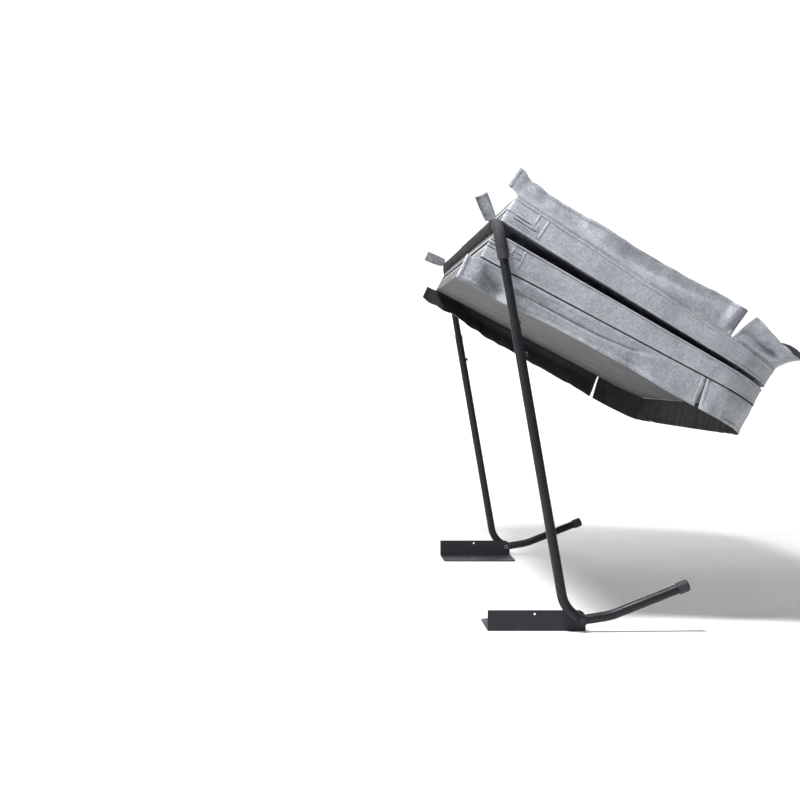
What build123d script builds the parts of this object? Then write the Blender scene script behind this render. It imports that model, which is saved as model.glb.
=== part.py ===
# Folding foam spa cover held on its under-mount lifter, caught half way through its swing.
# Frame: origin on the floor under the lifter's pivot axis, midway between the two brackets.
# +X points away from the spa (to the foot levers), +Y to the spa's left side, +Z up.
# Each cover half is first made lying flat, in a frame centred on the crossbar's axis:
# x runs outward from the fold, y along the crossbar, z up from the water.
import os
from math import atan2, cos, degrees, hypot, radians, sin

from build123d import *

# ---- driving dimensions, mm -------------------------------------------------------------
# cover
COVER_WIDTH = 2134.0        # 84 in spa, along the crossbar
HALF_END = 1030.0           # crossbar axis to the outer edge of one half
FOLD_END = 4.0              # crossbar axis to the fold end of one half
FOLD_THICKNESS = 96.0       # at the fold
EDGE_THICKNESS = 60.0       # at the outer edge
BAR_CLEARANCE = 21.2        # crossbar axis to the top face at the fold
CORNER_RADIUS = 150.0
VINYL = 1.0
CHANNEL_FLANGE = 40.0
CHANNEL_WALL = 1.2
CHANNEL_INSET = 60.0        # side of the half to the channel's end
SKIRT_DROP = 100.0
SKIRT_THICKNESS = 1.5
SKIRT_START = 10.0          # first point of a side skirt, from the crossbar axis
SKIRT_SLIT = 827.0          # middle of the slit between side skirt and end skirt
SLIT_WIDTH = 4.0
ZIP_WIDTH = 12.0
ZIP_PROUD = 1.5
ZIP_SHARE = 0.6             # height of the zip, as a share of the fold thickness
ZIP_END = 126.0             # end of the zip on the side band, from the crossbar axis
PULL_SIZE = (26.0, 3.0, 8.0)
PULL_INSET = 4.0            # end of the zip to the pull

# fold hinge
STRIP_INNER = 19.6
STRIP_WALL = 1.2
STRIP_LENGTH = 2120.0
STRIP_GAP = 2.0             # strip's edge to the half's edge, degrees
TAB_ROOT = (27.0, 135.0)    # from the crossbar axis: distance, degrees above +X
TAB_LENGTH = 82.0
TAB_ROOT_WIDTH = 38.0
TAB_END_WIDTH = 54.0
TAB_SAG = 10.0
TAB_GAP = 3.5               # side band to the tab's inner edge
TAB_LEAN = 113.0            # direction of the tabs, degrees above +X

# lifter
ARM_Y = 1122.0              # middle plane of each arm
PIVOT_Z = 38.0
BAR_X = -266.0
BAR_Z = 1297.0
LOWER_R = 15.875            # 1 1/4 in tube
UPPER_R = 14.2
TUBE_WALL = 1.5
HEEL = (-56.3, 79.2)        # corner of the arm's lower bend, x and z
HEEL_RADIUS = 100.0
ELBOW_RADIUS = 45.0
LOWER_TOP_Z = 991.0
TELESCOPE = 180.0           # length of upper tube inside the lower tube
UPPER_END_Y = 760.0
CROSSBAR_END_Y = 860.0
SLEEVE_R = 19.0
SLEEVE_BORE = 14.3
SLEEVE_DROP = 112.0
SLEEVE_OVERLAP = 2.0        # crossbar's end into the sleeve's end
FOOT_BEND = (92.0, 52.0)    # x and z
FOOT_END = (332.0, 147.0)
FOOT_RADIUS = 200.0
CAP_R = 19.5
CAP_LENGTH = 37.0
CAP_DEPTH = 28.0
CAP_ROUND = 8.5
CLAMP_Z = 879.0
LOCK_Z = 979.0
BAR_SCREW_Y = 800.0
CLAMP_SCREW = (4.0, 6.5, 7.0)     # shank radius, head radius, head height
SMALL_SCREW = (2.4, 4.6, 2.2)
SCREW_SEAT = 0.4            # tube to the underside of a screw's head
SCREW_REACH = 3.0           # small screws, past the inner tube's wall

# pivot and bracket
HUB_R = 18.0
HUB_HALF = 16.0
BUSH_R = 8.0
BOLT_R = 5.0
RUNNING = 0.05
BOLT_FLANGE = (9.5, 2.0)    # radius, thickness
BOLT_HEX = (9.0, 6.0)
BOLT_TIP = 2.0              # shank past the nut
NUT_HEX = (9.0, 10.0)
WASHER_R = 17.0
HUB_PLAY = 0.3
BRACKET_X = (-296.0, 16.0)
BRACKET_FACE = 1102.0       # outer face of the upright leg
BRACKET_STEEL = 4.0
BRACKET_HEIGHT = 66.0
BRACKET_DEPTH = 250.0
BRACKET_EAR = 24.0
ANCHOR = (-146.0, 54.0)
ANCHOR_R = 3.5

# rest pose, degrees
REAR_TILT = 28.0            # rear half below the horizontal
FOLD_ANGLE = 185.4          # turn of the front half from flat

# ---- worked out from them ---------------------------------------------------------------
HALF_WIDTH = COVER_WIDTH / 2
BOTTOM = -BAR_CLEARANCE - FOLD_THICKNESS
TAPER = (FOLD_THICKNESS - EDGE_THICKNESS) / (HALF_END - FOLD_END)
PIVOT = (0.0, PIVOT_Z)
BAR = (BAR_X, BAR_Z)
SIDES = {"right": -1, "left": 1}
ON_BASE = (Align.CENTER, Align.CENTER, Align.MIN)
PAST = 5.0                  # how far a cutting shape runs past what it cuts
FAR = 50.0                  # the same, for the cover's large cutting shapes


def block(x0, x1, y0, y1, z0, z1):
    """Box between two corners."""
    centre = Pos((x0 + x1) / 2, (y0 + y1) / 2, (z0 + z1) / 2)
    return centre * Box(abs(x1 - x0), abs(y1 - y0), abs(z1 - z0))


def rod_y(radius, y0, y1, at=PIVOT):
    """Round bar along Y."""
    return Pos(at[0], (y0 + y1) / 2, at[1]) * Rot(90, 0, 0) * Cylinder(radius, abs(y1 - y0))


def hex_y(radius, y0, y1, at=PIVOT):
    """Hexagonal bar along Y."""
    section = Plane(origin=(at[0], min(y0, y1), at[1]), z_dir=(0, 1, 0)) * RegularPolygon(radius, 6)
    return extrude(section, abs(y1 - y0))


def along(line, outer, inner):
    """Round tube swept along a line."""
    ring = Circle(outer) - Circle(inner)
    return sweep(Plane(origin=line @ 0, z_dir=line % 0) * ring, path=line)


def on_arm(z):
    """Point of the arm's straight run at a given height, x and z."""
    slope = (BAR[0] - HEEL[0]) / (BAR[1] - HEEL[1])
    return (HEEL[0] + (z - HEEL[1]) * slope, z)


def at_y(point, y):
    return (point[0], y, point[1])


def save(node, shape):
    export_step(shape, f"parts/{node}.step")


# ---- brackets and pivots ----------------------------------------------------------------
def bracket(side):
    """Steel angle: one leg lies under the spa, the upright leg carries the pivot."""
    x0, x1 = BRACKET_X
    outer = side * BRACKET_FACE
    inner = side * (BRACKET_FACE - BRACKET_STEEL)
    upright = block(x0, x1, inner, outer, 0, BRACKET_HEIGHT)
    corners = upright.edges().filter_by(Axis.Y).group_by(Axis.Z)[-1]
    upright = fillet(corners.sort_by(Axis.X)[-1], BRACKET_EAR)
    deep = side * (BRACKET_FACE - BRACKET_DEPTH)
    floor_leg = block(x0, x1, deep, outer, 0, BRACKET_STEEL)
    far = floor_leg.edges().filter_by(Axis.Z).sort_by(lambda e: side * e.center().Y)[:2]
    floor_leg = fillet(far, BRACKET_EAR)
    bolt_hole = rod_y(BOLT_R + RUNNING, inner - side * PAST, outer + side * PAST)
    anchor_hole = rod_y(ANCHOR_R, inner - side * PAST, outer + side * PAST, ANCHOR)
    return upright + floor_leg - bolt_hole - anchor_hole


def pivot_bolt(side):
    seat = ARM_Y + HUB_HALF + HUB_PLAY
    neck = seat + BOLT_FLANGE[1]
    end = BRACKET_FACE - BRACKET_STEEL - NUT_HEX[1] - BOLT_TIP
    shank = rod_y(BOLT_R, side * end, side * seat)
    flange = rod_y(BOLT_FLANGE[0], side * seat, side * neck)
    head = hex_y(BOLT_HEX[0], side * neck, side * (neck + BOLT_HEX[1]))
    return shank + flange + head


def pivot_nut(side):
    face = BRACKET_FACE - BRACKET_STEEL
    nut = hex_y(NUT_HEX[0], side * (face - NUT_HEX[1]), side * face)
    bore = rod_y(BOLT_R + RUNNING, side * (face - NUT_HEX[1] - PAST), side * (face + PAST))
    return nut - bore


def ring_y(outer, inner, y0, y1):
    return rod_y(outer, y0, y1) - rod_y(inner, min(y0, y1) - PAST, max(y0, y1) + PAST)


def pivot_washer(side):
    end = ARM_Y - HUB_HALF - HUB_PLAY
    return ring_y(WASHER_R, BOLT_R + RUNNING, side * BRACKET_FACE, side * end)


def pivot_hub(side):
    return ring_y(HUB_R, BUSH_R, side * (ARM_Y - HUB_HALF), side * (ARM_Y + HUB_HALF))


def pivot_bush(side):
    return ring_y(BUSH_R, BOLT_R + RUNNING, side * (ARM_Y - HUB_HALF), side * (ARM_Y + HUB_HALF))


# ---- arms -------------------------------------------------------------------------------
def screw(axis_point, direction, start, size):
    """Round-headed screw: the shank runs from start to its head, both along direction."""
    shank_r, head_r, head_h = size
    seat = LOWER_R + SCREW_SEAT
    plane = Plane(origin=axis_point, z_dir=direction)
    shank = plane * Pos(0, 0, start) * Cylinder(shank_r, seat - start, align=ON_BASE)
    head = plane * Pos(0, 0, seat) * Cylinder(head_r, head_h, align=ON_BASE)
    return shank + head


def across_arm():
    """Direction square to the arm, towards +X."""
    run = hypot(BAR[0] - HEEL[0], BAR[1] - HEEL[1])
    return ((BAR[1] - HEEL[1]) / run, 0, (HEEL[0] - BAR[0]) / run)


def clamp_screw(side):
    return screw(at_y(on_arm(CLAMP_Z), side * ARM_Y), across_arm(), UPPER_R + 0.05, CLAMP_SCREW)


def lock_screw(side):
    start = UPPER_R - TUBE_WALL - SCREW_REACH
    return screw(at_y(on_arm(LOCK_Z), side * ARM_Y), across_arm(), start, SMALL_SCREW)


def bar_screw(side):
    start = UPPER_R - TUBE_WALL - SCREW_REACH
    return screw(at_y(BAR, side * BAR_SCREW_Y), (0, 0, -1), start, SMALL_SCREW)


def hole(point, direction, radius):
    """Hole through one wall of the nested tubes."""
    plane = Plane(origin=point, z_dir=direction)
    return plane * Pos(0, 0, UPPER_R - TUBE_WALL - PAST) * Cylinder(radius, LOWER_R, align=ON_BASE)


def clamp_hole(side):
    return hole(at_y(on_arm(CLAMP_Z), side * ARM_Y), across_arm(), CLAMP_SCREW[0] + RUNNING)


def lock_hole(side):
    return hole(at_y(on_arm(LOCK_Z), side * ARM_Y), across_arm(), SMALL_SCREW[0] + RUNNING)


def bar_hole(side):
    return hole(at_y(BAR, side * BAR_SCREW_Y), (0, 0, -1), SMALL_SCREW[0] + RUNNING)


def lower_arm(side):
    y = side * ARM_Y
    points = [at_y(PIVOT, y), at_y(HEEL, y), at_y(on_arm(LOWER_TOP_Z), y)]
    tube = along(FilletPolyline(*points, radius=HEEL_RADIUS), LOWER_R, LOWER_R - TUBE_WALL)
    return tube - hub_space(side) - clamp_hole(side) - lock_hole(side)


def hub_space(side):
    return rod_y(HUB_R, side * (ARM_Y - HUB_R - PAST), side * (ARM_Y + HUB_R + PAST))


def upper_arm(side):
    y = side * ARM_Y
    start = on_arm(LOWER_TOP_Z - TELESCOPE)
    points = [at_y(start, y), at_y(BAR, y), at_y(BAR, side * UPPER_END_Y)]
    tube = along(FilletPolyline(*points, radius=ELBOW_RADIUS), UPPER_R, UPPER_R - TUBE_WALL)
    return tube - lock_hole(side) - bar_hole(side)


def elbow_sleeve(side):
    y = side * ARM_Y
    end = side * (CROSSBAR_END_Y + SLEEVE_OVERLAP)
    points = [at_y(on_arm(BAR_Z - SLEEVE_DROP), y), at_y(BAR, y), at_y(BAR, end)]
    return along(FilletPolyline(*points, radius=ELBOW_RADIUS), SLEEVE_R, SLEEVE_BORE)


def crossbar():
    tube = rod_y(LOWER_R, -CROSSBAR_END_Y, CROSSBAR_END_Y, BAR)
    bore = rod_y(LOWER_R - TUBE_WALL, -CROSSBAR_END_Y - PAST, CROSSBAR_END_Y + PAST, BAR)
    return tube - bore - bar_hole(-1) - bar_hole(1)


def foot_line(side):
    y = side * ARM_Y
    return FilletPolyline(at_y(PIVOT, y), at_y(FOOT_BEND, y), at_y(FOOT_END, y), radius=FOOT_RADIUS)


def foot_tube(side):
    return along(foot_line(side), LOWER_R, LOWER_R - TUBE_WALL) - hub_space(side)


def foot_cap(side):
    """Rubber cup with a domed end, pushed over the foot tube."""
    line = foot_line(side)
    plane = Plane(origin=line @ 1, z_dir=line % 1)
    cup = Pos(0, 0, -CAP_DEPTH) * Cylinder(CAP_R, CAP_LENGTH, align=ON_BASE)
    cup = fillet(cup.edges().filter_by(GeomType.CIRCLE).sort_by(Axis.Z)[-1], CAP_ROUND)
    bore = Pos(0, 0, -CAP_DEPTH - PAST) * Cylinder(LOWER_R, CAP_DEPTH + PAST, align=ON_BASE)
    return plane * (cup - bore)


# ---- one half of the cover, lying flat -----------------------------------------------------
def top_at(x):
    """Height of the sloping top face."""
    return -BAR_CLEARANCE - TAPER * (x - FOLD_END)


def slab(above_bottom, below_top):
    """Wedge between the flat bottom face and the sloping top face, inset from both."""
    ends = (0.0, HALF_END + FAR)
    low = [(x, BOTTOM + above_bottom) for x in ends]
    high = [(x, top_at(x) - below_top) for x in reversed(ends)]
    return extrude(Plane.XZ * make_face(Polyline(*low, *high, close=True)), HALF_WIDTH + FAR, both=True)


def outline(start, inset, z0, z1):
    """Plan shape of a half with its two rounded outer corners, as an upright block."""
    y = HALF_WIDTH - inset
    shape = block(start, HALF_END - inset, -y, y, z0, z1)
    outer = shape.edges().filter_by(Axis.Z).sort_by(Axis.X)[-2:]
    return fillet(outer, CORNER_RADIUS - inset)


def half_nodes():
    """All pieces of one half, by name."""
    tall = (BOTTOM - FAR, FAR)
    skin = outline(FOLD_END, 0, *tall)
    body = outline(FOLD_END + VINYL, VINYL, *tall)
    filling = slab(VINYL, VINYL)
    foam = body & filling
    near_fold = block(0, FOLD_END + VINYL, -HALF_WIDTH, HALF_WIDTH, *tall)
    wall = (skin - body) & filling
    reach = FOLD_END + VINYL + CHANNEL_FLANGE
    channel_half = HALF_WIDTH - CHANNEL_INSET
    channel_zone = foam & block(0, reach, -channel_half, channel_half, *tall)
    hollow = block(FOLD_END + VINYL + CHANNEL_WALL, reach + PAST, -HALF_WIDTH, HALF_WIDTH, *tall)
    channel = channel_zone - (hollow & slab(VINYL + CHANNEL_WALL, VINYL + CHANNEL_WALL))
    nodes = {
        "foam_core": foam - channel,
        "fold_channel": channel,
        "top_panel": skin & (slab(0, 0) - slab(0, VINYL)),
        "bottom_panel": skin & (slab(0, 0) - slab(VINYL, 0)),
        "side_band": wall - near_fold,
        "fold_band": wall & near_fold,
        "zipper": zipper(),
        "zipper_pull": zipper_pull(),
        "end_skirt": end_skirt(),
    }
    for name, side in SIDES.items():
        nodes[f"{name}_skirt"] = side_skirt(side)
    return nodes


def zip_height():
    return BOTTOM + FOLD_THICKNESS * ZIP_SHARE


def zipper():
    """Zip across the fold end, carried a short way round onto both side bands."""
    low, high = zip_height() - ZIP_WIDTH / 2, zip_height() + ZIP_WIDTH / 2
    edge = HALF_WIDTH + ZIP_PROUD
    outer = block(FOLD_END - ZIP_PROUD, ZIP_END, -edge, edge, low, high)
    inner = block(FOLD_END, ZIP_END + PAST, -HALF_WIDTH, HALF_WIDTH, low - PAST, high + PAST)
    return outer - inner


def zipper_pull():
    length, thick, width = PULL_SIZE
    face = -HALF_WIDTH - ZIP_PROUD
    x0 = ZIP_END - length - PULL_INSET
    z0 = zip_height() - width / 2
    pull = block(x0, x0 + length, face - thick, face, z0, z0 + width)
    return fillet(pull.edges().filter_by(Axis.Y), width / 4)


def side_skirt(side):
    outer = side * HALF_WIDTH
    inner = side * (HALF_WIDTH - SKIRT_THICKNESS)
    end = SKIRT_SLIT - SLIT_WIDTH / 2
    return block(SKIRT_START, end, inner, outer, BOTTOM - SKIRT_DROP, BOTTOM)


def end_skirt():
    """Skirt across the outer edge and round both corners to the slits."""
    heights = (BOTTOM - SKIRT_DROP, BOTTOM)
    start = SKIRT_SLIT + SLIT_WIDTH / 2
    return outline(start, 0, *heights) - outline(start - PAST, SKIRT_THICKNESS, *heights)


# ---- fold hinge, in the rest pose ------------------------------------------------------------
def around_bar(distance, angle):
    """Point at a distance from the crossbar's axis, x and z; degrees above +X."""
    turn = radians(angle)
    return (BAR_X + distance * cos(turn), BAR_Z + distance * sin(turn))


def hinge_strip():
    """Vinyl gutter round the crossbar that joins the top edges of the two halves."""
    edge = degrees(atan2(-BAR_CLEARANCE, FOLD_END))
    first = edge - REAR_TILT - STRIP_GAP
    sweep_angle = 180 + 2 * edge + FOLD_ANGLE - 2 * STRIP_GAP
    outer = STRIP_INNER + STRIP_WALL
    steps = 4
    fan = [BAR]
    for step in range(steps + 1):
        fan.append(around_bar(4 * outer, first - sweep_angle * step / steps))
    half = STRIP_LENGTH / 2
    wedge = extrude(Plane.XZ * make_face(Polyline(*fan, close=True)), STRIP_LENGTH, both=True)
    tube = rod_y(outer, -half, half, BAR) - rod_y(STRIP_INNER, -half - PAST, half + PAST, BAR)
    return tube & wedge


def hinge_tab(side):
    """Curled flap that covers the gap between the side skirts at the fold."""
    lean = radians(TAB_LEAN)
    direction = (cos(lean), 0, sin(lean))
    radius = ((TAB_END_WIDTH / 2) ** 2 + TAB_SAG ** 2) / (2 * TAB_SAG)
    inner_edge = HALF_WIDTH + TAB_GAP
    centre = inner_edge + TAB_SAG - radius
    root = at_y(around_bar(*TAB_ROOT), 0)
    plane = Plane(origin=root, x_dir=(0, side, 0), z_dir=direction)
    shell = Circle(radius) - Circle(radius - SKIRT_THICKNESS)
    gutter = plane * Pos(centre, 0, 0) * extrude(shell, TAB_LENGTH)
    face = Plane(origin=root, x_dir=direction, z_dir=(0, side, 0))
    corners = [
        (0, -TAB_ROOT_WIDTH / 2),
        (TAB_LENGTH, -TAB_END_WIDTH / 2),
        (TAB_LENGTH, TAB_END_WIDTH / 2),
        (0, TAB_ROOT_WIDTH / 2),
    ]
    cut = make_face(Polyline(*corners, close=True))
    trim = face * Pos(0, 0, inner_edge) * extrude(cut, TAB_SAG + PAST)
    return gutter & trim


# ---- write every node ------------------------------------------------------------------------
def main():
    os.makedirs("parts", exist_ok=True)
    handed = {
        "base_bracket": bracket,
        "pivot_bolt": pivot_bolt,
        "pivot_nut": pivot_nut,
        "pivot_washer": pivot_washer,
        "pivot_hub": pivot_hub,
        "pivot_bush": pivot_bush,
        "lower_arm": lower_arm,
        "upper_arm": upper_arm,
        "elbow_sleeve": elbow_sleeve,
        "foot_tube": foot_tube,
        "foot_cap": foot_cap,
        "hinge_tab": hinge_tab,
    }
    for name, side in SIDES.items():
        for node, make in handed.items():
            save(f"{name}_{node}", make(side))
    pairs = {"clamp_screws": clamp_screw, "lock_screws": lock_screw, "crossbar_screws": bar_screw}
    for node, make in pairs.items():
        save(node, Compound(children=[make(-1), make(1)]))
    save("crossbar_tube", crossbar())
    save("hinge_strip", hinge_strip())
    rear_place = Pos(BAR_X, 0, BAR_Z) * Rot(0, REAR_TILT, 0)
    front_place = Pos(BAR_X, 0, BAR_Z) * Rot(0, REAR_TILT + FOLD_ANGLE, 0)
    for node, shape in half_nodes().items():
        save(f"rear_{node}", rear_place * shape)
        save(f"front_{node}", front_place * mirror(shape, about=Plane.YZ))


main()
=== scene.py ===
import math

import bpy
import numpy as np
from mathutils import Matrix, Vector, noise
from mathutils.bvhtree import BVHTree


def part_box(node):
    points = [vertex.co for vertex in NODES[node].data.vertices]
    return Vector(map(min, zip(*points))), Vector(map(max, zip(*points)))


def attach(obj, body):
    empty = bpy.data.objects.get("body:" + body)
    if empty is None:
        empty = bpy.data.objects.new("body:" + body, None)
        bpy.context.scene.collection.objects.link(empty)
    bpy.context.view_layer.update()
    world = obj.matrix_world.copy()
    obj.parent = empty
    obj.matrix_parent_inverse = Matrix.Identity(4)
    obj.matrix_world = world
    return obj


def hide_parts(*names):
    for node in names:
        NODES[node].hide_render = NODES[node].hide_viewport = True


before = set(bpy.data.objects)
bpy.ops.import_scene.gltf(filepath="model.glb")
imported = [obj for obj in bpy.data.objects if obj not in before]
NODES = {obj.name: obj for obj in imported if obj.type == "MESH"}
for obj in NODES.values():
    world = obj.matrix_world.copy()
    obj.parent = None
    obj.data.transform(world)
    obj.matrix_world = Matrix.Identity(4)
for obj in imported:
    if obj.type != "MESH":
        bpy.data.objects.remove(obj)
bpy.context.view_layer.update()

Y = np.array([0.0, 1.0, 0.0])
SIDES = {"right": -1, "left": 1}
HALVES = ("rear", "front")
EDGE_ROUND = 0.004      # top and bottom edges of a half
FOLD_ROUND = 0.0045     # upright edges at the fold
GRID = 0.012            # cells of the padded skins
JACKET_THICK = 0.0009
SKIRT_PROUD = 0.0018    # skirt's middle plane outside the side band
SKIRT_THICK = 0.0015
HEM = 0.013             # breadth of the hem
HEM_THICK = 0.0028
HEM_STEPS = np.array([0, 0.33, 0.66])
SKIRT_PITCH = 0.009     # cells along a skirt
RIM_PITCH = 0.008       # points of a path along a half's side
TONGUE_END = -0.038     # side skirts run past the fold to here
STITCH_PITCH = 0.006
STITCH_LENGTH = 0.0044
STITCH_RADIUS = 0.00055
STITCH_LIFT = 0.0011    # middle of a stitch above the middle of a skirt's cloth


# ---- reading the frame ----
def node_points(name):
    mesh = NODES[name].data
    points = np.empty(len(mesh.vertices) * 3)
    mesh.vertices.foreach_get("co", points)
    return points.reshape(-1, 3)


def node_centre(name):
    lo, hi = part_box(name)
    return (np.array(lo) + np.array(hi)) / 2


BAR = node_centre("crossbar_tube") * [1, 0, 1]


def mirrored(near_half):
    """A plan path from its near half, which ends at y = 0."""
    path = np.array(near_half)
    return np.concatenate([path, path[-2::-1] * [1, -1, 1, -1]])


class Half:
    """One cover half: u runs outward from the crossbar, y along it, w up from the water."""

    def __init__(self, name):
        self.name = name
        panel = node_points(f"{name}_bottom_panel")
        spread = panel - panel.mean(axis=0)
        self.w_axis = np.linalg.svd(spread, full_matrices=False)[2][2]
        if np.dot(BAR - panel.mean(axis=0), self.w_axis) < 0:
            self.w_axis = -self.w_axis
        self.u_axis = np.cross(Y, self.w_axis)
        if self.u_axis[0] < 0:
            self.u_axis = -self.u_axis
        band = self.local(node_points(f"{name}_side_band"))
        top = self.local(node_points(f"{name}_top_panel"))
        self.half_width = abs(band[:, 1]).max()
        self.fold = band[:, 0].min()
        self.end = band[:, 0].max()
        self.bottom = self.local(panel)[:, 2].min()
        on_side = abs(band[:, 1]) > self.half_width - 1e-5
        self.corner = self.end - band[on_side, 0].max()
        self.first = top[top[:, 0] < self.fold + 1e-4][:, 2].max()
        last = top[top[:, 0] > self.end - 1e-3][:, 2].max()
        self.slope = (last - self.first) / (self.end - self.fold)
        zip_tape = self.local(node_points(f"{name}_zipper"))[:, 2]
        self.zip_level = (zip_tape.min() + zip_tape.max()) / 2

    def local(self, points):
        away = points - BAR
        return np.stack([away @ self.u_axis, away @ Y, away @ self.w_axis], axis=-1)

    def world(self, points):
        u, y, w = np.split(np.asarray(points, dtype=float), 3, axis=-1)
        return BAR + u * self.u_axis + y * Y + w * self.w_axis

    def at(self, path, level):
        """Places of a plan path at one level, or at a level for each of its points."""
        return self.world(np.column_stack([path[:, :2], np.broadcast_to(level, len(path))]))

    def outward(self, path):
        """Directions of a plan path's outward normals."""
        return self.world(np.column_stack([path[:, 2:], np.zeros(len(path))])) - BAR

    def top(self, u):
        return self.first + self.slope * (u - self.fold)

    def rows(self, inset):
        """u and half width of each row of the plan, from the fold to the outer edge."""
        fold_turn = np.radians([90, 60, 30])
        straight = np.arange(self.fold + FOLD_ROUND, self.end - self.corner, GRID)
        end_turn = np.radians(np.linspace(0, 90, 14))
        narrow = FOLD_ROUND - inset
        wide = self.corner - inset
        u = np.concatenate([
            self.fold + FOLD_ROUND - narrow * np.sin(fold_turn),
            straight,
            self.end - self.corner + wide * np.sin(end_turn)])
        half = np.concatenate([
            self.half_width - FOLD_ROUND + narrow * np.cos(fold_turn),
            np.full(len(straight), self.half_width - inset),
            self.half_width - self.corner + wide * np.cos(end_turn)])
        return u, half

    def rim(self, outset, first=None):
        """Plan path round the outer sides, from u = first on the near side.

        Its columns are u, y and the outward normal's u and y.
        """
        near = -self.half_width
        reach = self.corner + outset
        pivot = self.end - self.corner
        start = self.fold if first is None else first
        run = np.linspace(start, pivot, max(2, int((pivot - start) / RIM_PITCH)))[:-1]
        side = [(u, near - outset, 0, -1) for u in run]
        bend = [(pivot + reach * math.sin(a), near + self.corner - reach * math.cos(a),
                 math.sin(a), -math.cos(a)) for a in np.radians(np.linspace(0, 90, 16))]
        edge = np.linspace(near + self.corner, 0, 100)[1:]
        across = [(self.end + outset, y, 1, 0) for y in edge]
        return mirrored(side + bend + across)

    def fold_path(self, outset, reach):
        """Plan path across the fold face that runs on to u = reach along both sides."""
        near = -self.half_width
        pivot = self.fold + FOLD_ROUND
        side = [(u, near - outset, 0, -1) for u in np.linspace(reach, pivot, 24)]
        out = FOLD_ROUND + outset
        bend = [(pivot - out * math.sin(a), near + FOLD_ROUND - out * math.cos(a),
                 -math.sin(a), -math.cos(a)) for a in np.radians([15, 30, 45, 60, 75, 90])]
        across = [(self.fold - outset, y, -1, 0) for y in np.linspace(near + GRID, 0, 120)]
        return mirrored(side + bend + across)


HALF = {name: Half(name) for name in HALVES}


# ---- materials ----
class Shader:
    """A Principled material with object coordinates and short ways to add textures to it."""

    def __init__(self, name, colour, roughness, metallic=0.0, specular=0.5):
        self.material = bpy.data.materials.new(name)
        self.material.use_nodes = True
        self.tree = self.material.node_tree
        self.surface = self.tree.nodes["Principled BSDF"]
        self.surface.inputs["Base Color"].default_value = (*colour, 1)
        self.surface.inputs["Roughness"].default_value = roughness
        self.surface.inputs["Metallic"].default_value = metallic
        self.surface.inputs["Specular IOR Level"].default_value = specular
        self.place = self.tree.nodes.new("ShaderNodeTexCoord").outputs["Object"]
        self.normal = None

    def link(self, source, target):
        self.tree.links.new(source, target)

    def noise(self, scale, detail=3.0, distortion=0.0):
        node = self.tree.nodes.new("ShaderNodeTexNoise")
        node.inputs["Scale"].default_value = scale
        node.inputs["Detail"].default_value = detail
        node.inputs["Distortion"].default_value = distortion
        self.link(self.place, node.inputs["Vector"])
        return node.outputs["Fac"]

    def cells(self, scale):
        node = self.tree.nodes.new("ShaderNodeTexVoronoi")
        node.inputs["Scale"].default_value = scale
        self.link(self.place, node.inputs["Vector"])
        return node.outputs["Distance"]

    def ramp(self, source, stops):
        node = self.tree.nodes.new("ShaderNodeValToRGB")
        steps = node.color_ramp.elements
        while len(steps) < len(stops):
            steps.new(0.5)
        for step, (at, colour) in zip(steps, stops):
            step.position = at
            step.color = (*colour, 1) if hasattr(colour, "__len__") else (colour, colour, colour, 1)
        self.link(source, node.inputs["Fac"])
        return node.outputs["Color"]

    def tint(self, source, stops):
        self.link(self.ramp(source, stops), self.surface.inputs["Base Color"])

    def times(self, source, factor):
        """Multiplies what colours the surface now by a grey texture."""
        mix = self.tree.nodes.new("ShaderNodeMix")
        mix.data_type = "RGBA"
        mix.blend_type = "MULTIPLY"
        mix.inputs["Factor"].default_value = factor
        links = self.surface.inputs["Base Color"].links
        self.link(links[0].from_socket, mix.inputs["A"])
        self.link(source, mix.inputs["B"])
        self.link(mix.outputs["Result"], self.surface.inputs["Base Color"])

    def rough(self, source, low, high):
        self.link(self.ramp(source, [(0.3, low), (0.7, high)]), self.surface.inputs["Roughness"])

    def bump(self, source, distance, strength):
        node = self.tree.nodes.new("ShaderNodeBump")
        node.inputs["Strength"].default_value = strength
        node.inputs["Distance"].default_value = distance
        self.link(source, node.inputs["Height"])
        if self.normal is not None:
            self.link(self.normal, node.inputs["Normal"])
        self.normal = node.outputs["Normal"]
        self.link(self.normal, self.surface.inputs["Normal"])


def linear(*screen):
    """Linear colour from red, green and blue of 0 to 255 on the screen."""
    return tuple(c / 255 / 12.92 if c <= 10 else ((c / 255 + 0.055) / 1.055) ** 2.4 for c in screen)


def shades(colour, dark, light):
    """Ramp stops from a darker to a lighter shade of a colour."""
    return [(0.3, [c * dark for c in colour]), (0.7, [c * light for c in colour])]


def vinyl(name, dark, light, roughness, soft=0.0022, specular=0.5, mottle=0.8):
    """Grained vinyl; soft is the depth of its slack, mottle how patchy its tone is."""
    shader = Shader(name, light, 0.42, specular=specular)
    shader.tint(shader.noise(9, 7, 0.4), [(0.36, dark), (0.64, light)])
    shader.times(shader.ramp(shader.noise(42, 6, 0.6), [(0.36, 0.88), (0.60, 1.0)]), mottle)
    shader.times(shader.ramp(shader.noise(130, 5, 0.5), [(0.38, 0.68), (0.60, 1.0)]), mottle)
    shader.rough(shader.noise(16, 4), *roughness)
    shader.bump(shader.noise(11, 4, 0.8), soft * 2.2, 0.7)
    shader.bump(shader.noise(38, 3, 1.2), soft, 0.6)
    shader.bump(shader.cells(150), 0.0005, 0.5)
    shader.bump(shader.cells(520), 0.00035, 0.55)
    return shader.material


def coated(name, colour, roughness, grain=900):
    """Powder coating, or a blackened bolt with a finer grain."""
    shader = Shader(name, colour, roughness, specular=0.25)
    shader.tint(shader.noise(9, 4), shades(colour, 0.82, 1.15))
    shader.rough(shader.noise(40, 3), roughness - 0.07, roughness + 0.09)
    shader.bump(shader.noise(grain, 2), 0.0002, 0.4)
    return shader.material


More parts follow.
